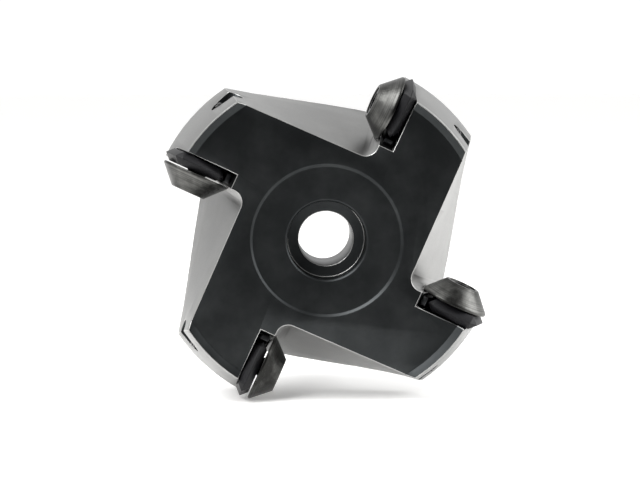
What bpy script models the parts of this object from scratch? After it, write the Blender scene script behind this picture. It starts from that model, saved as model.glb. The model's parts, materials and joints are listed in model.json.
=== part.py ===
"""Face mill for negative square inserts: a four-tooth shell mill, 75 degree approach, conical screw-down clamps.

The spindle axis is world Y. The cutting end faces -Y and the arbor face +Y, and +Z is up.
The origin is on the spindle axis, halfway along the tool with its inserts in place.
Each tooth is drawn in its own frame, hung on an empty that is turned about the spindle axis:
local X runs out along the insert seat, local Z is the way the rake face looks, and local Y is the depth.
A second empty stands on the clamp's axis, leant towards the cutting end by the negative axial rake.
The insert and its pocket are turned about that axis by the approach angle's complement.
"""

import math

import bmesh
import bpy

MM = 0.001

# Driving dimensions, in millimetres
CUTTING_RADIUS = 40.0
BODY_LENGTH = 50.0
TEETH = 4
FIRST_TOOTH_DEG = 65.5
LEAD_DEG = 15.0
GAP = 0.3
INSERT_AXIAL_LEAD = 1.0
INSERT_SIZE = 12.7
INSERT_THICKNESS = 3.18
INSERT_CORNER = 1.5
INSERT_HOLE_RADIUS = 3.2
AXIAL_RAKE_DEG = 3.5

# Where the tool's ends fall along Y, so that the origin is halfway
FRONT_Y = -(BODY_LENGTH + INSERT_AXIAL_LEAD) / 2 + INSERT_AXIAL_LEAD
REAR_Y = FRONT_Y + BODY_LENGTH

# Turned blank
RIM_RADIUS = 38.7
RIM_WIDTH = 1.9
FACE_SINK = 1.3
LAND_RADIUS = 42.9
LAND_DEPTH = 18.0
HUB_RADIUS = 28.0
HUB_DEPTH = 25.5
HUB_CHAMFER = 1.2

# Bores: a 27 mm arbor spigot behind, a socket-head screw in front
SPIGOT_RADIUS = 13.5
SPIGOT_DEPTH = 22.0
SCREW_HOLE_RADIUS = 6.5
HEAD_BORE_RADIUS = 9.2
HEAD_BORE_DEPTH = 8.0
FACE_RECESS_RADIUS = 17.4
FACE_RECESS_DEPTH = 0.6
KEYWAY_WIDTH = 12.4
KEYWAY_DEPTH = 7.0

# Chip gullet: a floor that climbs towards the back, most of all beside the insert, and a rounded corner
GULLET_FLOOR = 21.0
GULLET_SLOPE_INNER = 0.47
GULLET_SLOPE_OUTER = 0.13
GULLET_TWIST_SPAN = 32.0
GULLET_WALL = -1.8
GULLET_FILLET = 3.0
GULLET_BACK = 30.0
GULLET_SECTIONS = 7

# Clamp's axis, and heights along it above the spindle axis
LEAD = math.radians(LEAD_DEG)
AXIAL_RAKE = math.radians(AXIAL_RAKE_DEG)
CLAMP_X = 34.4
CLAMP_DEPTH = 8.3
CLAMP_Y = FRONT_Y + CLAMP_DEPTH
SEAT_AT_FACE = -5.6
SEAT = SEAT_AT_FACE + CLAMP_DEPTH * math.sin(AXIAL_RAKE)
INSERT_BASE = SEAT + GAP
RAKE_FACE = INSERT_BASE + INSERT_THICKNESS

# Insert's middle from the clamp's axis, along the insert's own sides: the clamp bears on its inner back part
HALF_INSERT = INSERT_SIZE / 2
INSERT_REACH = HALF_INSERT * (math.cos(LEAD) + math.sin(LEAD)) - INSERT_CORNER * math.sin(LEAD)
OUT_FROM_CLAMP = CUTTING_RADIUS - HALF_INSERT * (math.cos(LEAD) - math.sin(LEAD)) - CLAMP_X
BACK_FROM_CLAMP = FRONT_Y - INSERT_AXIAL_LEAD + INSERT_REACH - CLAMP_Y
INSERT_X = OUT_FROM_CLAMP * math.cos(LEAD) - BACK_FROM_CLAMP * math.sin(LEAD)
INSERT_Y = OUT_FROM_CLAMP * math.sin(LEAD) + BACK_FROM_CLAMP * math.cos(LEAD)
POCKET_INNER = INSERT_X - HALF_INSERT - GAP
POCKET_BACK = INSERT_Y + HALF_INSERT + GAP
POCKET_TOP = GULLET_WALL + 1.0
INSERT_FRONT = INSERT_Y - HALF_INSERT

# Stop strip let into the pocket's inner wall
STOP_WIDTH = 1.4
STOP_LENGTH = 9.5
STOP_FRONT = 0.9
STOP_DROP = 0.5

# Conical clamp and its screw
CAP_BASE = RAKE_FACE + GAP
CAP_RADIUS = 8.0
CAP_TOP_RADIUS = 4.1
CAP_RIM = 0.7
CAP_HEIGHT = 4.8
CAP_BORE_RADIUS = 2.8
HEAD_POCKET_RADIUS = 3.35
HEAD_POCKET_DEPTH = 2.9
SCREW_RADIUS = 2.5
SCREW_HEAD_RADIUS = 3.05
SCREW_HEAD_HEIGHT = 2.3
SCREW_TIP = -19.0
HEX_FLATS = 4.0
HEX_DEPTH = 1.9
TAPPED_RADIUS = 2.85
TAPPED_REACH = 45.0
CAP_ROOM_RADIUS = CAP_RADIUS + GAP
CAP_ROOM_TOP = 9.0

BODY_FACETS = 96
SMALL_FACETS = 40


def clear_scene():
    for thing in list(bpy.data.objects):
        bpy.data.objects.remove(thing, do_unlink=True)


def material(name, colour, roughness, metallic):
    made = bpy.data.materials.new(name)
    made.use_nodes = True
    shader = made.node_tree.nodes["Principled BSDF"]
    shader.inputs["Base Color"].default_value = (*colour, 1.0)
    shader.inputs["Roughness"].default_value = roughness
    shader.inputs["Metallic"].default_value = metallic
    return made


def to_object(name, mesh_builder, finish=None, smooth_deg=30.0):
    """One object from a bmesh in millimetres, shaded smooth up to an edge angle."""
    bmesh.ops.remove_doubles(mesh_builder, verts=mesh_builder.verts, dist=0.0001)
    bmesh.ops.recalc_face_normals(mesh_builder, faces=mesh_builder.faces)
    bmesh.ops.scale(mesh_builder, vec=(MM, MM, MM), verts=mesh_builder.verts)
    mesh = bpy.data.meshes.new(name)
    mesh_builder.to_mesh(mesh)
    mesh_builder.free()
    mesh.shade_smooth()
    mesh.set_sharp_from_angle(angle=math.radians(smooth_deg))
    if finish:
        mesh.materials.append(finish)
    made = bpy.data.objects.new(name, mesh)
    bpy.context.collection.objects.link(made)
    return made


def turned(profile, facets, along):
    """A closed profile of (radius, height) points turned about Y or Z; radius 0 is a point on the axis."""
    shape = bmesh.new()
    rings = []
    for radius, height in profile:
        count = facets if radius > 0 else 1
        ring = []
        for i in range(count):
            a = 2 * math.pi * i / count
            x, s = radius * math.cos(a), radius * math.sin(a)
            ring.append(shape.verts.new((x, height, s) if along == "Y" else (x, s, height)))
        rings.append(ring)
    for near, far in zip(rings, rings[1:] + rings[:1]):
        if len(near) == 1 and len(far) == 1:
            continue
        for i in range(facets):
            j = (i + 1) % facets
            corners = [near[i % len(near)], near[j % len(near)], far[j % len(far)], far[i % len(far)]]
            shape.faces.new(list(dict.fromkeys(corners)))
    return shape


def lofted(*outlines):
    """A closed solid through two or more outlines that have the same number of points."""
    shape = bmesh.new()
    loops = [[shape.verts.new(p) for p in outline] for outline in outlines]
    shape.faces.new(loops[0])
    shape.faces.new(loops[-1])
    for low, high in zip(loops, loops[1:]):
        for i in range(len(low)):
            j = (i + 1) % len(low)
            shape.faces.new((low[i], low[j], high[j], high[i]))
    return shape


def at_clamp(piece, clamp_axis, lead=0.0):
    """Hangs a piece on its clamp's axis, turned about it by the lead where it has one."""
    piece.parent = clamp_axis
    piece.rotation_euler = (0, 0, -lead)


def block(low, high):
    x0, y0, z0 = low
    x1, y1, z1 = high
    outline = [(x0, y0), (x1, y0), (x1, y1), (x0, y1)]
    return lofted([(x, y, z0) for x, y in outline], [(x, y, z1) for x, y in outline])


def clipped_square(half, corner):
    """A square outline about the origin, with its corners cut off."""
    c = half - corner
    return [(half, -c), (half, c), (c, half), (-c, half), (-half, c), (-half, -c), (-c, -half), (c, -half)]


def hexagon(flats):
    radius = flats / math.sqrt(3)
    angles = [math.radians(60 * i) for i in range(6)]
    return [(radius * math.cos(a), radius * math.sin(a)) for a in angles]


def cut(target, cutter, name):
    """Cuts a hidden guide solid out of the target."""
    cutter.hide_render = True
    cutter.display_type = "WIRE"
    modifier = target.modifiers.new(name, "BOOLEAN")
    modifier.operation = "DIFFERENCE"
    modifier.solver = "EXACT"
    modifier.object = cutter


def body_blank(finish):
    """The turned blank: sunk face with a raised rim, tapered land, cone, hub, and its three bores."""
    shoulder = REAR_Y - SPIGOT_DEPTH
    profile = [
        (HEAD_BORE_RADIUS + 0.5, FRONT_Y + FACE_SINK + FACE_RECESS_DEPTH),
        (FACE_RECESS_RADIUS, FRONT_Y + FACE_SINK + FACE_RECESS_DEPTH),
        (FACE_RECESS_RADIUS + FACE_RECESS_DEPTH, FRONT_Y + FACE_SINK),
        (RIM_RADIUS - RIM_WIDTH, FRONT_Y + FACE_SINK),
        (RIM_RADIUS - 0.2, FRONT_Y),
        (RIM_RADIUS, FRONT_Y + 0.15),
        (LAND_RADIUS, FRONT_Y + LAND_DEPTH),
        (LAND_RADIUS - 0.5, FRONT_Y + LAND_DEPTH + 0.5),
        (HUB_RADIUS, FRONT_Y + HUB_DEPTH),
        (HUB_RADIUS, REAR_Y - HUB_CHAMFER),
        (HUB_RADIUS - HUB_CHAMFER, REAR_Y),
        (SPIGOT_RADIUS + 1.0, REAR_Y),
        (SPIGOT_RADIUS, REAR_Y - 1.0),
        (SPIGOT_RADIUS, shoulder),
        (SCREW_HOLE_RADIUS, shoulder),
        (SCREW_HOLE_RADIUS, FRONT_Y + HEAD_BORE_DEPTH),
        (HEAD_BORE_RADIUS, FRONT_Y + HEAD_BORE_DEPTH),
        (HEAD_BORE_RADIUS, FRONT_Y + FACE_SINK + FACE_RECESS_DEPTH + 0.5),
    ]
    return to_object("cutter_body", turned(profile, BODY_FACETS, "Y"), finish)


def gullet_outline(depth):
    """The gullet's outline at a depth behind the face: wall, rounded corner, and the twisted floor."""
    far = 2 * CUTTING_RADIUS

    def floor(z):
        slope = GULLET_SLOPE_INNER + (GULLET_SLOPE_OUTER - GULLET_SLOPE_INNER) * z / GULLET_TWIST_SPAN
        return GULLET_FLOOR + slope * depth

    corner_z = GULLET_WALL + GULLET_FILLET
    corner_x = floor(corner_z) + GULLET_FILLET
    points = [(far, GULLET_WALL)]
    for step in range(8):
        a = math.radians(270 - 90 * step / 8)
        points.append((corner_x + GULLET_FILLET * math.cos(a), corner_z + GULLET_FILLET * math.sin(a)))
    for step in range(9):
        z = corner_z + (45 - corner_z) * step / 8
        points.append((floor(z), z))
    points += [(floor(45.0), far), (far, far)]
    return [(x, FRONT_Y + depth, z) for x, z in points]


def tooth_cutters(body, hanger, clamp_axis, number):
    """Everything that one tooth takes out of the body."""
    depths = [-4 + (GULLET_BACK + 4) * i / (GULLET_SECTIONS - 1) for i in range(GULLET_SECTIONS)]
    gullet = to_object(f"gullet_cutter_{number}", lofted(*[gullet_outline(depth) for depth in depths]))
    reach = CUTTING_RADIUS
    room_base = CAP_BASE - GAP
    pocket = to_object(
        f"pocket_cutter_{number}",
        block((POCKET_INNER, -reach, SEAT), (reach, POCKET_BACK, POCKET_TOP)),
    )
    stop_slot = to_object(
        f"stop_slot_cutter_{number}",
        block(
            (POCKET_INNER - STOP_WIDTH - GAP, -reach, SEAT + 0.05),
            (POCKET_INNER + 1, STOP_LENGTH + INSERT_FRONT, POCKET_TOP),
        ),
    )
    cap_room = to_object(
        f"cap_room_cutter_{number}",
        turned(
            [(0, room_base), (CAP_ROOM_RADIUS, room_base), (CAP_ROOM_RADIUS, CAP_ROOM_TOP), (0, CAP_ROOM_TOP)],
            SMALL_FACETS, "Z",
        ),
    )
    thread = to_object(
        f"tapped_hole_cutter_{number}",
        turned([(0, -TAPPED_REACH), (TAPPED_RADIUS, -TAPPED_REACH), (TAPPED_RADIUS, 0), (0, 0)], SMALL_FACETS, "Z"),
    )
    for cutter in (pocket, stop_slot, cap_room, thread):
        at_clamp(cutter, clamp_axis, LEAD)
    gullet.parent = hanger
    for cutter in (gullet, pocket, stop_slot, cap_room, thread):
        cut(body, cutter, cutter.name)


def square_insert(name, finish):
    """A square insert with clipped corners, and a hole on the clamp's axis for the screw."""
    outline = [(x + INSERT_X, y + INSERT_Y) for x, y in clipped_square(HALF_INSERT, INSERT_CORNER)]
    sides = [[(x, y, z) for x, y in outline] for z in (INSERT_BASE, RAKE_FACE)]
    insert = to_object(name, lofted(*sides), finish)
    low, high = INSERT_BASE - 2, RAKE_FACE + 2
    profile = [(0, low), (INSERT_HOLE_RADIUS, low), (INSERT_HOLE_RADIUS, high), (0, high)]
    hole = to_object(f"{name}_hole_cutter", turned(profile, SMALL_FACETS, "Z"))
    cut(insert, hole, "screw_hole")
    return insert, hole


def clamp_cap(name, finish):
    """The conical clamp: a flat base, a short rim, and a pocket for the screw's head in its top."""
    top = CAP_BASE + CAP_HEIGHT
    profile = [
        (CAP_BORE_RADIUS, CAP_BASE),
        (CAP_RADIUS - 0.3, CAP_BASE),
        (CAP_RADIUS, CAP_BASE + 0.3),
        (CAP_RADIUS, CAP_BASE + CAP_RIM),
        (CAP_TOP_RADIUS + 0.15, top - 0.15),
        (CAP_TOP_RADIUS - 0.1, top),
        (HEAD_POCKET_RADIUS, top),
        (HEAD_POCKET_RADIUS, top - HEAD_POCKET_DEPTH),
        (CAP_BORE_RADIUS, top - HEAD_POCKET_DEPTH),
    ]
    return to_object(name, turned(profile, SMALL_FACETS, "Z"), finish)


def clamp_screw(name, finish):
    """The socket-head screw, from its tip in the arm to its head in the clamp."""
    head_base = CAP_BASE + CAP_HEIGHT - HEAD_POCKET_DEPTH + GAP
    head_top = head_base + SCREW_HEAD_HEIGHT
    profile = [
        (0, SCREW_TIP),
        (SCREW_RADIUS - 0.7, SCREW_TIP),
        (SCREW_RADIUS, SCREW_TIP + 0.7),
        (SCREW_RADIUS, head_base),
        (SCREW_HEAD_RADIUS, head_base),
        (SCREW_HEAD_RADIUS, head_top - 0.3),
        (SCREW_HEAD_RADIUS - 0.3, head_top),
        (0, head_top),
    ]
    screw = to_object(name, turned(profile, SMALL_FACETS, "Z"), finish)
    flats = hexagon(HEX_FLATS)
    low = [(x, y, head_top - HEX_DEPTH) for x, y in flats]
    high = [(x, y, head_top + 2) for x, y in flats]
    socket = to_object(f"{name}_socket_cutter", lofted(low, high))
    cut(screw, socket, "hex_socket")
    return screw, socket


def tooth(number, body, finishes):
    """One tooth: its two empties, its cuts in the body, and its four pieces."""
    hanger = bpy.data.objects.new(f"tooth_{number}", None)
    clamp_axis = bpy.data.objects.new(f"clamp_axis_{number}", None)
    for empty in (hanger, clamp_axis):
        bpy.context.collection.objects.link(empty)
    hanger.rotation_euler = (0, -math.radians(FIRST_TOOTH_DEG + 360 / TEETH * (number - 1)), 0)
    clamp_axis.parent = hanger
    clamp_axis.location = (CLAMP_X * MM, CLAMP_Y * MM, 0)
    clamp_axis.rotation_euler = (AXIAL_RAKE, 0, 0)
    tooth_cutters(body, hanger, clamp_axis, number)

    insert, insert_hole = square_insert(f"insert_{number}", finishes["carbide"])
    stop = to_object(
        f"stop_strip_{number}",
        block(
            (POCKET_INNER - STOP_WIDTH, STOP_FRONT + INSERT_FRONT, SEAT + 2 * GAP),
            (POCKET_INNER - 0.05, STOP_LENGTH - GAP + INSERT_FRONT, GULLET_WALL - STOP_DROP),
        ),
        finishes["strip"],
    )
    for piece in (insert, insert_hole, stop):
        at_clamp(piece, clamp_axis, LEAD)

    cap = clamp_cap(f"clamp_cap_{number}", finishes["clamp"])
    screw, socket = clamp_screw(f"clamp_screw_{number}", finishes["screw"])
    for piece in (cap, screw, socket):
        at_clamp(piece, clamp_axis)


def main():
    clear_scene()
    finishes = {
        "body": material("black_oxide", (0.05, 0.053, 0.055), 0.42, 0.8),
        "carbide": material("coated_carbide", (0.035, 0.035, 0.038), 0.35, 0.6),
        "strip": material("blued_strip", (0.03, 0.032, 0.036), 0.45, 0.6),
        "clamp": material("blackened_clamp", (0.045, 0.045, 0.045), 0.38, 0.9),
        "screw": material("alloy_screw", (0.03, 0.03, 0.03), 0.4, 0.8),
    }
    body = body_blank(finishes["body"])
    keyway = to_object(
        "keyway_cutter",
        block((-60, REAR_Y - KEYWAY_DEPTH, -KEYWAY_WIDTH / 2), (60, REAR_Y + 5, KEYWAY_WIDTH / 2)),
    )
    cut(body, keyway, "keyway")
    for number in range(1, TEETH + 1):
        tooth(number, body, finishes)


main()
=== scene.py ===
"""Looks of the face mill: a blackened four-tooth cutter, seen from its cutting end."""

import json
import math

import bpy
from mathutils import Matrix, Vector


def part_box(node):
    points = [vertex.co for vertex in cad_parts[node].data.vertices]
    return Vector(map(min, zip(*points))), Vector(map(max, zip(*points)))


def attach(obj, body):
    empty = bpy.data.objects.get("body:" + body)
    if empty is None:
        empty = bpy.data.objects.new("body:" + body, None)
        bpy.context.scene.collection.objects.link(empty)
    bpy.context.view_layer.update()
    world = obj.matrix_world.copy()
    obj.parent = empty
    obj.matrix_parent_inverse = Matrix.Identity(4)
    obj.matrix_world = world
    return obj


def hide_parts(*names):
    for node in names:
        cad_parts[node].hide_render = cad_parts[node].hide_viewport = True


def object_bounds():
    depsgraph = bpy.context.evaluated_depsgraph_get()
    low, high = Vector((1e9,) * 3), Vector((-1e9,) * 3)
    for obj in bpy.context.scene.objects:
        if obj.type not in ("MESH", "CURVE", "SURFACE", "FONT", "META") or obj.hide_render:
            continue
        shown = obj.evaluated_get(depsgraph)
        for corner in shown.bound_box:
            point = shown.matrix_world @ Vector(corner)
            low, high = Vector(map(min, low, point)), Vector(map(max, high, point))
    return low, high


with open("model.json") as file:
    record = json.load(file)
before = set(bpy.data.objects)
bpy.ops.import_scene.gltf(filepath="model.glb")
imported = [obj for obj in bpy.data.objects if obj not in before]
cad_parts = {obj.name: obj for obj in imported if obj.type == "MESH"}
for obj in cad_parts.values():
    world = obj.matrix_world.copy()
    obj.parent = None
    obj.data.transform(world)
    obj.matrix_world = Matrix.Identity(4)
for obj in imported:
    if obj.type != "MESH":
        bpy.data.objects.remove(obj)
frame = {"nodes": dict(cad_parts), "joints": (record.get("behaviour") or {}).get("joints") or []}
cad_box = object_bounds()

# Cutter body. One piece of alloy steel: turned, then milled for four gullets and four insert pockets, and
# blackened all over. The gullets and lands are coloured a lighter grey than the face: a painted sheen that
# stands in for their glancing reflection. The bevelled edges are lighter still: a painted highlight along
# them, with some rubbed wear.
MM = 0.001


def surface_group():
    """Node group steel_skin: clouds, uneven gloss and fine pits over a surface."""
    group = bpy.data.node_groups.new("steel_skin", "ShaderNodeTree")
    for name, kind, start in (
        ("Place", "NodeSocketVector", None),
        ("Colour", "NodeSocketColor", (0.05, 0.05, 0.05, 1)),
        ("Rubbed And Sheen Colour", "NodeSocketColor", (0.2, 0.2, 0.2, 1)),
        ("Wear", "NodeSocketFloat", 0.1),
        ("Roughness", "NodeSocketFloat", 0.4),
        ("Uneven", "NodeSocketFloat", 0.08),
        ("Grain Scale", "NodeSocketFloat", 2500.0),
    ):
        socket = group.interface.new_socket(name=name, in_out="INPUT", socket_type=kind)
        if start is not None:
            socket.default_value = start
    for name, kind in (
        ("Colour", "NodeSocketColor"),
        ("Roughness", "NodeSocketFloat"),
        ("Height", "NodeSocketFloat"),
    ):
        group.interface.new_socket(name=name, in_out="OUTPUT", socket_type=kind)
    nodes, links = group.nodes, group.links
    given = nodes.new("NodeGroupInput")
    out = nodes.new("NodeGroupOutput")

    cloud = nodes.new("ShaderNodeTexNoise")
    cloud.inputs["Scale"].default_value = 90.0
    cloud.inputs["Detail"].default_value = 5.0
    cloud.inputs["Roughness"].default_value = 0.6
    links.new(given.outputs["Place"], cloud.inputs["Vector"])
    spread = nodes.new("ShaderNodeMapRange")
    spread.inputs["From Min"].default_value = 0.42
    spread.inputs["From Max"].default_value = 0.75
    links.new(cloud.outputs["Fac"], spread.inputs["Value"])
    rubbed_and_sheen = nodes.new("ShaderNodeMath")
    rubbed_and_sheen.operation = "MULTIPLY"
    links.new(spread.outputs["Result"], rubbed_and_sheen.inputs[0])
    links.new(given.outputs["Wear"], rubbed_and_sheen.inputs[1])
    mix = nodes.new("ShaderNodeMix")
    mix.data_type = "RGBA"
    links.new(rubbed_and_sheen.outputs[0], mix.inputs["Factor"])
    links.new(given.outputs["Colour"], mix.inputs["A"])
    links.new(given.outputs["Rubbed And Sheen Colour"], mix.inputs["B"])
    links.new(mix.outputs["Result"], out.inputs["Colour"])

    grain = nodes.new("ShaderNodeTexNoise")
    grain.inputs["Detail"].default_value = 3.0
    links.new(given.outputs["Place"], grain.inputs["Vector"])
    links.new(given.outputs["Grain Scale"], grain.inputs["Scale"])
    both = nodes.new("ShaderNodeMath")
    both.operation = "ADD"
    links.new(grain.outputs["Fac"], both.inputs[0])
    links.new(cloud.outputs["Fac"], both.inputs[1])
    centred = nodes.new("ShaderNodeMath")
    centred.operation = "SUBTRACT"
    centred.inputs[1].default_value = 1.0
    links.new(both.outputs[0], centred.inputs[0])
    gloss = nodes.new("ShaderNodeMath")
    gloss.operation = "MULTIPLY_ADD"
    links.new(centred.outputs[0], gloss.inputs[0])
    links.new(given.outputs["Uneven"], gloss.inputs[1])
    links.new(given.outputs["Roughness"], gloss.inputs[2])
    links.new(gloss.outputs[0], out.inputs["Roughness"])
    links.new(grain.outputs["Fac"], out.inputs["Height"])
    return group


def marks_group():
    """Node group tool_marks: even grooves along one coordinate, broken up a little."""
    group = bpy.data.node_groups.new("tool_marks", "ShaderNodeTree")
    group.interface.new_socket(name="Across", in_out="INPUT", socket_type="NodeSocketFloat")
    pitch = group.interface.new_socket(name="Pitch", in_out="INPUT", socket_type="NodeSocketFloat")
    pitch.default_value = 0.0003
    group.interface.new_socket(name="Height", in_out="OUTPUT", socket_type="NodeSocketFloat")
    nodes, links = group.nodes, group.links
    given = nodes.new("NodeGroupInput")
    out = nodes.new("NodeGroupOutput")
    turns = nodes.new("ShaderNodeMath")
    turns.operation = "DIVIDE"
    links.new(given.outputs["Across"], turns.inputs[0])
    links.new(given.outputs["Pitch"], turns.inputs[1])
    wave = nodes.new("ShaderNodeTexNoise")
    wave.noise_dimensions = "1D"
    wave.inputs["Scale"].default_value = 1.0
    wave.inputs["Detail"].default_value = 3.0
    links.new(turns.outputs[0], wave.inputs["W"])
    links.new(wave.outputs["Fac"], out.inputs["Height"])
    return group


STEEL_SKIN = surface_group()
TOOL_MARKS = marks_group()


def steel(
    name, colour, rubbed_and_sheen, roughness, wear=0.1, uneven=0.1, grain=2500.0, metallic=1.0, specular=0.5,
    marks=None, depth=0.02,
):
    """A finish for one kind of surface; marks is (attribute, component, pitch) for grooves along it, whose
    ridges are also painted lighter: a painted streak highlight, partly rubbed wear.
    """
    made = bpy.data.materials.new(name)
    made.use_nodes = True
    nodes, links = made.node_tree.nodes, made.node_tree.links
    shader = nodes["Principled BSDF"]
    shader.inputs["Metallic"].default_value = metallic
    shader.inputs["Specular IOR Level"].default_value = specular
    place = nodes.new("ShaderNodeTexCoord")
    skin = nodes.new("ShaderNodeGroup")
    skin.node_tree = STEEL_SKIN
    skin.inputs["Colour"].default_value = (*colour, 1)
    skin.inputs["Rubbed And Sheen Colour"].default_value = (*rubbed_and_sheen, 1)
    skin.inputs["Wear"].default_value = wear
    skin.inputs["Roughness"].default_value = roughness
    skin.inputs["Uneven"].default_value = uneven
    skin.inputs["Grain Scale"].default_value = grain
    links.new(place.outputs["Object"], skin.inputs["Place"])
    links.new(skin.outputs["Colour"], shader.inputs["Base Color"])
    links.new(skin.outputs["Roughness"], shader.inputs["Roughness"])
    bump = nodes.new("ShaderNodeBump")
    bump.inputs["Strength"].default_value = 0.25
    bump.inputs["Distance"].default_value = depth * MM
    links.new(skin.outputs["Height"], bump.inputs["Height"])
    if marks:
        attribute, component, pitch = marks
        local = nodes.new("ShaderNodeAttribute")
        local.attribute_name = attribute
        parts = nodes.new("ShaderNodeSeparateXYZ")
        links.new(local.outputs["Vector"], parts.inputs[0])
        groove = nodes.new("ShaderNodeGroup")
        groove.node_tree = TOOL_MARKS
        groove.inputs["Pitch"].default_value = pitch
        links.new(parts.outputs[component], groove.inputs["Across"])
        grooves = nodes.new("ShaderNodeBump")
        grooves.inputs["Strength"].default_value = 0.6
        grooves.inputs["Distance"].default_value = depth * MM
        links.new(groove.outputs["Height"], grooves.inputs["Height"])
        # The grooves' ridges are painted in the lighter colour: a painted streak highlight, partly rubbed
        # wear.
        streak_wear_and_sheen = nodes.new("ShaderNodeMath")
        streak_wear_and_sheen.operation = "MULTIPLY"
        streak_wear_and_sheen.inputs[1].default_value = wear
        links.new(groove.outputs["Height"], streak_wear_and_sheen.inputs[0])
        links.new(streak_wear_and_sheen.outputs[0], skin.inputs["Wear"])
        links.new(bump.outputs["Normal"], grooves.inputs["Normal"])
        bump = grooves
    links.new(bump.outputs["Normal"], shader.inputs["Normal"])
    return made


TEETH = [joint for joint in frame["joints"] if joint["type"] == "hinge"]
SPINDLE = Vector((0, 1, 0))
FACE_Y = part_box("cutter_body")[0].y
GULLET_INNER = 18.0 * MM
GULLET_BACK = FACE_Y + 30.0 * MM
WALL_SIDE = -2.2 * MM
LAND_BACK = FACE_Y + 18.2 * MM
LAND_INNER = 38.3 * MM
HUB_SIDE = 28.4 * MM
HUB_FRONT = FACE_Y + 25.0 * MM
END_FACE = 0.75
EDGE_WIDTH = 0.13 * MM
OUTWARD = 0.9
FACING = 0.5
EDGE_ANGLE = 30
KEPT_BLACK = ((0, 19 * MM), (36.2 * MM, 37.4 * MM))
FRONT_STEPS = FACE_Y + 3 * MM
WELD = 0.00002
FLAT_ANGLE = 0.6


def tooth_place(joint):
    """The tooth's own frame: X out along the seat, Y back along the tool, Z along the clamp's axis."""
    up = Vector(joint["axis"]).normalized()
    out = SPINDLE.cross(up).normalized()
    turn = Matrix((out, up.cross(out), up)).transposed().to_4x4()
    return Matrix.Translation(Vector(joint["pos_m"])) @ turn


def select_only(thing):
    bpy.ops.object.select_all(action="DESELECT")
    thing.select_set(True)
    bpy.context.view_layer.objects.active = thing


def apply_modifier(thing, kind, **settings):
    select_only(thing)
    modifier = thing.modifiers.new(kind, kind)
    for name, value in settings.items():
        setattr(modifier, name, value)
    bpy.ops.object.modifier_apply(modifier=modifier.name)


def bevel_edges(thing, width, segments=2, angle=28, **more):
    apply_modifier(
        thing, "BEVEL", width=width, segments=segments, limit_method="ANGLE",
        angle_limit=math.radians(angle), **more,
    )


def smooth(thing, angle=32):
    select_only(thing)
    bpy.ops.object.shade_smooth_by_angle(angle=math.radians(angle))


black_oxide = steel("black_oxide", (0.026, 0.028, 0.029), (0.05, 0.053, 0.054), 0.4, wear=0.6, depth=0.012)
# The gullets and lands get a light grey instead of the black: a painted sheen standing in for their glancing
# reflection.
painted_sheen_oxide = steel("painted_sheen_oxide", (0.22, 0.22, 0.217), (0.3, 0.3, 0.295), 0.4, wear=0.6, depth=0.008)
# The bevelled edges get a lighter grey still: a painted highlight along them, with some rubbed wear.
edge_wear_and_highlight = steel("edge_wear_and_highlight", (0.34, 0.34, 0.335), (0.5, 0.5, 0.49), 0.38, wear=0.7, depth=0.01)

body = frame["nodes"]["cutter_body"].copy()
body.data = body.data.copy()
body.name = "cutter_body_finished"
body.parent = None
bpy.context.scene.collection.objects.link(body)
select_only(body)
bpy.ops.object.mode_set(mode="EDIT")
bpy.ops.mesh.select_all(action="SELECT")
bpy.ops.mesh.remove_doubles(threshold=WELD)
bpy.ops.mesh.dissolve_limited(angle_limit=math.radians(FLAT_ANGLE))
bpy.ops.object.mode_set(mode="OBJECT")
body.data.materials.clear()
for finish in (black_oxide, painted_sheen_oxide, edge_wear_and_highlight):
    body.data.materials.append(finish)


def is_painted_sheen(centre, normal):
    """Whether a place on the body is in a gullet or on a land, which get the painted sheen, a lighter grey
    than the face.
    """
    radius = math.hypot(centre.x, centre.z)
    if centre.y > GULLET_BACK or abs(normal.y) > END_FACE:
        return False
    if radius < HUB_SIDE and centre.y > HUB_FRONT:
        return False
    outward = (normal.x * centre.x + normal.z * centre.z) / radius
    if radius > LAND_INNER and centre.y < LAND_BACK and outward > OUTWARD:
        return True
    for joint in TEETH:
        level = Vector((joint["axis"][0], 0, joint["axis"][2])).normalized()
        out = SPINDLE.cross(level)
        inside = centre.dot(out) > GULLET_INNER and centre.dot(level) > WALL_SIDE
        if inside and max(normal.dot(out), normal.dot(level)) > FACING:
            return True
    return False


# Faces in the gullets and on the lands get the painted sheen.
for face in body.data.polygons:
    face.material_index = 1 if is_painted_sheen(face.center, face.normal) else 0
# The bevels take the third slot, which holds the painted edge highlight.
bevel_edges(body, EDGE_WIDTH, angle=EDGE_ANGLE, material=2, loop_slide=False, use_clamp_overlap=False)
# Edges in the centre recess and at the rim's inner step stay black, without the painted highlight.
for face in body.data.polygons:
    radius = math.hypot(face.center.x, face.center.z)
    no_edge_highlight = any(low < radius < high for low, high in KEPT_BLACK) and face.center.y < FRONT_STEPS
    if face.material_index == 2 and no_edge_highlight:
        face.material_index = 0
smooth(body, 35)
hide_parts("cutter_body")
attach(body, "cutter")

# Insert. A negative square of dark coated carbide with clipped corners and straight sides. Its top has a
# narrow land along the edge and a shallow chip groove inside it, and the edges are honed round. Like the
# other small pieces it is shaped once about the clamp's axis and copied to the four teeth.
LEAD = math.radians(-15)
INSERT_CLIP = 1.5 * MM
INSERT_BORE = 3.2 * MM
INSERT_LAND = 0.35 * MM
GROOVE_SIDE = 0.5 * MM
GROOVE_DEPTH = 0.16 * MM
INSERT_HONE = 0.1 * MM
BORE_SIDES = 64
TOPWARD = 0.9


def to_teeth(pattern, node, rides_on_clamp):
    """Copies a finished pattern to every tooth, then removes the pattern."""
    for number, joint in enumerate(TEETH, 1):
        made = pattern.copy()
        made.data = pattern.data.copy()
        made.name = f"{node}_finished_{number}"
        bpy.context.scene.collection.objects.link(made)
        made.data.transform(tooth_place(joint))
        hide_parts(f"{node}_{number}")
        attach(made, f"{node}_{number}" if rides_on_clamp else "cutter")
    bpy.data.objects.remove(pattern)


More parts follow.
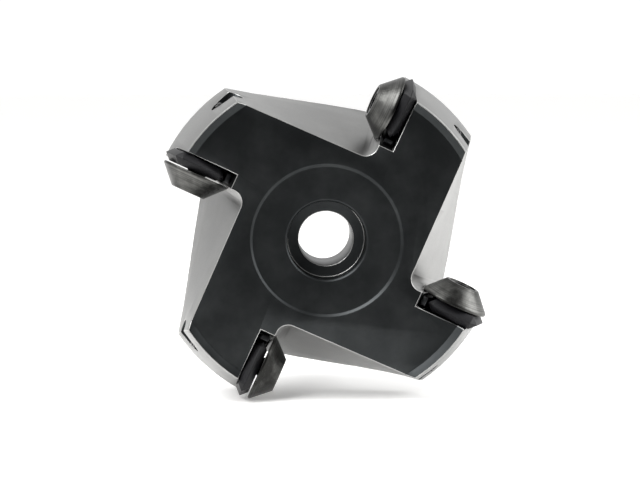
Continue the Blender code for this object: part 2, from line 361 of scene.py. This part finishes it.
def local_box(node, joint, turn=0.0):
    """A node's lowest and highest corner in its tooth's frame, turned about the clamp's axis by turn."""
    back = Matrix.Rotation(-turn, 4, "Z") @ tooth_place(joint).inverted()
    spots = [back @ point.co for point in frame["nodes"][node].data.vertices]
    low = Vector([min(spot[i] for spot in spots) for i in range(3)])
    high = Vector([max(spot[i] for spot in spots) for i in range(3)])
    return low, high


def pick(thing, test):
    """Selects in edit mode the faces whose centre and normal pass the test."""
    bpy.ops.object.mode_set(mode="OBJECT")
    for group in (thing.data.vertices, thing.data.edges, thing.data.polygons):
        for item in group:
            item.select = False
    for face in thing.data.polygons:
        face.select = bool(test(face.center, face.normal))
    bpy.ops.object.mode_set(mode="EDIT")
    bpy.ops.mesh.select_mode(type="FACE")


def new_plate(name, low, high):
    """A cube at a box's size and place, in edit mode."""
    bpy.ops.object.select_all(action="DESELECT")
    bpy.ops.mesh.primitive_cube_add(size=1.0, location=(low + high) / 2, scale=high - low)
    plate = bpy.context.object
    plate.name = name
    bpy.ops.object.transform_apply(location=True, rotation=True, scale=True)
    bpy.ops.object.mode_set(mode="EDIT")
    return plate


def bore_through(thing, radius, low, high):
    """Drills a hole along the clamp's axis."""
    bpy.ops.object.select_all(action="DESELECT")
    bpy.ops.mesh.primitive_cylinder_add(
        vertices=BORE_SIDES, radius=radius, depth=high - low, location=(0, 0, (low + high) / 2)
    )
    drill = bpy.context.object
    apply_modifier(thing, "BOOLEAN", operation="DIFFERENCE", solver="EXACT", object=drill)
    bpy.data.objects.remove(drill)


insert_low, insert_high = local_box("insert_1", TEETH[0], LEAD)
insert = new_plate("insert_pattern", insert_low, insert_high)
bpy.ops.object.mode_set(mode="OBJECT")
for edge in insert.data.edges:
    start, end = (insert.data.vertices[i].co for i in edge.vertices)
    edge.select = abs(start.z - end.z) > MM
bpy.ops.object.mode_set(mode="EDIT")
bpy.ops.mesh.select_mode(type="EDGE")
bpy.ops.mesh.bevel(offset=INSERT_CLIP, segments=1, affect="EDGES")
pick(insert, lambda centre, normal: normal.z > TOPWARD)
bpy.ops.mesh.inset(thickness=INSERT_LAND)
bpy.ops.mesh.inset(thickness=GROOVE_SIDE, depth=-GROOVE_DEPTH)
bpy.ops.mesh.inset(thickness=GROOVE_SIDE, depth=GROOVE_DEPTH)
bpy.ops.object.mode_set(mode="OBJECT")
bore_through(insert, INSERT_BORE, insert_low.z - MM, insert_high.z + MM)
bevel_edges(insert, INSERT_HONE, segments=3, angle=25)
insert.data.transform(Matrix.Rotation(LEAD, 4, "Z"))
smooth(insert)
insert.data.materials.append(
    steel(
        "coated_carbide", (0.006, 0.006, 0.007), (0.016, 0.016, 0.017), 0.46, wear=0.6, grain=6000.0,
        metallic=0, specular=0.16,
    )
)
to_teeth(insert, "insert", False)

# Stop strip. A hard ground strip of blued steel, let into the inner wall of the insert's pocket. The
# insert's side is pushed against it, so that the soft body doesn't wear there.
STRIP_EDGE = 0.18 * MM
strip = new_plate("strip_pattern", *local_box("stop_strip_1", TEETH[0], LEAD))
bpy.ops.object.mode_set(mode="OBJECT")
bevel_edges(strip, STRIP_EDGE)
strip.data.transform(Matrix.Rotation(LEAD, 4, "Z"))
smooth(strip)
strip.data.materials.append(
    steel("strip_steel", (0.022, 0.024, 0.026), (0.06, 0.06, 0.06), 0.36, wear=0.7, grain=3500.0)
)
to_teeth(strip, "stop_strip", False)

# Clamp cap. A turned and blackened steel cone, bored for the screw and counterbored for its head, with a
# flat base that bears on the insert. The lathe's feed marks are left on the cone as grooves, painted lighter
# along
# their ridges: a painted streak highlight, partly rubbed wear.
CAP_SIDES = 128
CAP_TOP = 4.1 * MM
CAP_RIM = 0.55 * MM
HEAD_POCKET = 3.35 * MM
HEAD_POCKET_DEPTH = 2.9 * MM
CAP_BORE = 2.8 * MM
CAP_FEED = 0.28 * MM
CAP_EDGE = 0.13 * MM


def keep_local(thing):
    """Keeps each point's radius, angle and height about the piece's axis, so that lathe marks follow it."""
    turned = thing.data.attributes.new("turned", "FLOAT_VECTOR", "POINT")
    for point, value in zip(thing.data.vertices, turned.data):
        spot = point.co
        value.vector = (math.hypot(spot.x, spot.y), math.atan2(spot.y, spot.x), spot.z)


cap_low, cap_high = local_box("clamp_cap_1", TEETH[0])
cap_radius = (cap_high.x - cap_low.x) / 2
bpy.ops.object.select_all(action="DESELECT")
bpy.ops.mesh.primitive_cylinder_add(
    vertices=CAP_SIDES, radius=cap_radius, depth=CAP_RIM, location=(0, 0, cap_low.z + CAP_RIM / 2)
)
cap = bpy.context.object
cap.name = "clamp_cap_pattern"
bpy.ops.object.transform_apply(location=True, rotation=True, scale=True)
pick(cap, lambda centre, normal: normal.z > TOPWARD)
bpy.ops.mesh.extrude_region_move(TRANSFORM_OT_translate={"value": (0, 0, cap_high.z - cap_low.z - CAP_RIM)})
cone_top = CAP_TOP / cap_radius
bpy.ops.transform.resize(value=(cone_top, cone_top, 1), center_override=(0, 0, cap_high.z))
bpy.ops.mesh.inset(thickness=CAP_TOP - HEAD_POCKET)
bpy.ops.mesh.extrude_region_move(TRANSFORM_OT_translate={"value": (0, 0, -HEAD_POCKET_DEPTH)})
bpy.ops.object.mode_set(mode="OBJECT")
bore_through(cap, CAP_BORE, cap_low.z - 2 * MM, cap_high.z)
bevel_edges(cap, CAP_EDGE, segments=3, angle=25)
keep_local(cap)
smooth(cap)
# The cone's lighter streaks along the feed marks are a painted highlight, partly rubbed wear.
cap.data.materials.append(
    steel(
        "turned_black", (0.022, 0.022, 0.021), (0.17, 0.17, 0.163), 0.34, wear=1.7, uneven=0.25,
        marks=("turned", "X", CAP_FEED), depth=0.03,
    )
)
to_teeth(cap, "clamp_cap", True)

# Clamp screw. An M5 socket-head screw in black alloy steel. Its head sits down in the cap, and its rolled
# thread runs right through the arm, to show in the tapped hole behind it.
SCREW_SIDES = 48
THREAD_PITCH = 0.8 * MM
THREAD_DEPTH = 0.38 * MM
THREAD_ROWS = 8
SHANK_RADIUS = 2.5 * MM
HEAD_HEIGHT = 2.3 * MM
SOCKET_FLATS = 4.0 * MM
SOCKET_DEPTH = 1.9 * MM
TIP_LENGTH = 0.7 * MM
TIP_TAPER = 0.7 * MM
SEAM_WELD = 0.000001

screw_low, screw_high = local_box("clamp_screw_1", TEETH[0])
head_radius = (screw_high.x - screw_low.x) / 2
head_base = screw_high.z - HEAD_HEIGHT
rows = round((head_base - screw_low.z) / THREAD_PITCH * THREAD_ROWS)
row_height = (head_base - screw_low.z) / rows
bpy.ops.object.select_all(action="DESELECT")
bpy.ops.mesh.primitive_circle_add(
    vertices=SCREW_SIDES, radius=SHANK_RADIUS, fill_type="NGON", location=(0, 0, screw_low.z)
)
screw = bpy.context.object
screw.name = "clamp_screw_pattern"
bpy.ops.object.transform_apply(location=True, rotation=True, scale=True)
bpy.ops.object.mode_set(mode="EDIT")
bpy.ops.mesh.select_all(action="SELECT")
for row in range(rows):
    bpy.ops.mesh.extrude_region_move(TRANSFORM_OT_translate={"value": (0, 0, row_height)})
wide = head_radius / SHANK_RADIUS
bpy.ops.mesh.extrude_region_move(TRANSFORM_OT_translate={"value": (0, 0, 0)})
bpy.ops.transform.resize(value=(wide, wide, 1), center_override=(0, 0, head_base))
bpy.ops.mesh.extrude_region_move(TRANSFORM_OT_translate={"value": (0, 0, HEAD_HEIGHT)})
bpy.ops.mesh.select_all(action="SELECT")
bpy.ops.mesh.remove_doubles(threshold=SEAM_WELD)
bpy.ops.mesh.normals_make_consistent(inside=False)
bpy.ops.object.mode_set(mode="OBJECT")
for point in screw.data.vertices:
    height = point.co.z - screw_low.z
    radius = math.hypot(point.co.x, point.co.y)
    if radius < SHANK_RADIUS * 1.01 and point.co.z < head_base - THREAD_PITCH:
        phase = (height / THREAD_PITCH - math.atan2(point.co.y, point.co.x) / (2 * math.pi)) % 1
        sink = THREAD_DEPTH * abs(2 * phase - 1)
        sink = max(sink, TIP_TAPER * (1 - height / TIP_LENGTH))
        point.co.x *= (SHANK_RADIUS - sink) / radius
        point.co.y *= (SHANK_RADIUS - sink) / radius
bpy.ops.object.select_all(action="DESELECT")
bpy.ops.mesh.primitive_cylinder_add(
    vertices=6, radius=SOCKET_FLATS / math.sqrt(3), depth=2 * SOCKET_DEPTH, location=(0, 0, screw_high.z)
)
key = bpy.context.object
apply_modifier(screw, "BOOLEAN", operation="DIFFERENCE", solver="EXACT", object=key)
bpy.data.objects.remove(key)
smooth(screw, 40)
screw.data.materials.append(
    steel("black_alloy", (0.03, 0.03, 0.031), (0.09, 0.09, 0.09), 0.4, wear=0.5, grain=4000.0)
)
to_teeth(screw, "clamp_screw", True)

# Camera. A long lens looks back along the spindle axis at the cutting end, from a little above and a
# little to the left. A slight shift sets the tool just off the middle of the frame.
CAMERA_DISTANCE = 0.48
CAMERA_LIFT = math.radians(4.8)
CAMERA_SWING = math.radians(2.1)
LENS = 115.5
SENSOR_WIDTH = 36.0
SHIFT = (-0.011, 0.002)

camera_data = bpy.data.cameras.new("camera")
camera_data.lens = LENS
camera_data.sensor_width = SENSOR_WIDTH
camera_data.shift_x, camera_data.shift_y = SHIFT
camera = bpy.data.objects.new("camera", camera_data)
bpy.context.scene.collection.objects.link(camera)
away = Vector((
    -math.sin(CAMERA_SWING) * math.cos(CAMERA_LIFT),
    -math.cos(CAMERA_SWING) * math.cos(CAMERA_LIFT),
    math.sin(CAMERA_LIFT),
))
aim = Vector((0, FACE_Y, 0))
camera.location = aim + away * CAMERA_DISTANCE
camera.rotation_euler = (-away).to_track_quat("-Z", "Y").to_euler()
bpy.context.scene.camera = camera

# Studio. A pale sheet under the tool and three soft lights. The surround is white beyond the tool and
# fades darker towards the front, so that the blackened face stays dark.
FLOOR_Z = cad_box[0][2]
FLOOR_SIZE = 6.0
FLOOR_FRONT = -0.125
FLOOR_GLOW = 0.2
FADE_FRONT, FADE_BACK = -0.75, -0.05
SURROUND_FRONT, SURROUND_BACK = 0.2, 1.08

bpy.ops.object.select_all(action="DESELECT")
bpy.ops.mesh.primitive_plane_add(size=FLOOR_SIZE, location=(0, FLOOR_FRONT + FLOOR_SIZE / 2, FLOOR_Z))
floor = bpy.context.object
floor.name = "floor"
floor_finish = bpy.data.materials.new("pale_sheet")
floor_finish.use_nodes = True
floor_shader = floor_finish.node_tree.nodes["Principled BSDF"]
floor_shader.inputs["Base Color"].default_value = (0.9, 0.895, 0.885, 1)
floor_shader.inputs["Roughness"].default_value = 0.6
floor_shader.inputs["Specular IOR Level"].default_value = 0.2
floor_shader.inputs["Emission Color"].default_value = (1, 0.995, 0.985, 1)
floor_shader.inputs["Emission Strength"].default_value = FLOOR_GLOW
floor.data.materials.append(floor_finish)


def soft_light(name, place, size, power):
    """A soft box that faces the tool."""
    data = bpy.data.lights.new(name, "AREA")
    data.shape = "RECTANGLE"
    data.size, data.size_y = size
    data.energy = power
    lamp = bpy.data.objects.new(name, data)
    lamp.location = place
    lamp.rotation_euler = (-Vector(place)).to_track_quat("-Z", "Y").to_euler()
    bpy.context.scene.collection.objects.link(lamp)


soft_light("key_light", place=(-0.35, -0.25, 0.6), size=(0.5, 0.5), power=7.0)
soft_light("front_light", place=(-0.5, -0.8, 0.55), size=(0.5, 0.5), power=3.5)
soft_light("side_light", place=(0.6, -0.05, 0.3), size=(0.4, 0.6), power=5.0)

world = bpy.data.worlds.new("surround")
world.use_nodes = True
bpy.context.scene.world = world
sky = world.node_tree.nodes["Background"]
look = world.node_tree.nodes.new("ShaderNodeTexCoord")
axes = world.node_tree.nodes.new("ShaderNodeSeparateXYZ")
fade = world.node_tree.nodes.new("ShaderNodeMapRange")
fade.inputs["From Min"].default_value = FADE_FRONT
fade.inputs["From Max"].default_value = FADE_BACK
fade.inputs["To Min"].default_value = SURROUND_FRONT
fade.inputs["To Max"].default_value = SURROUND_BACK
world.node_tree.links.new(look.outputs["Generated"], axes.inputs[0])
world.node_tree.links.new(axes.outputs["Y"], fade.inputs["Value"])
world.node_tree.links.new(fade.outputs["Result"], sky.inputs["Strength"])
sky.inputs["Color"].default_value = (1, 1, 1, 1)
bpy.context.scene.view_settings.view_transform = "Standard"
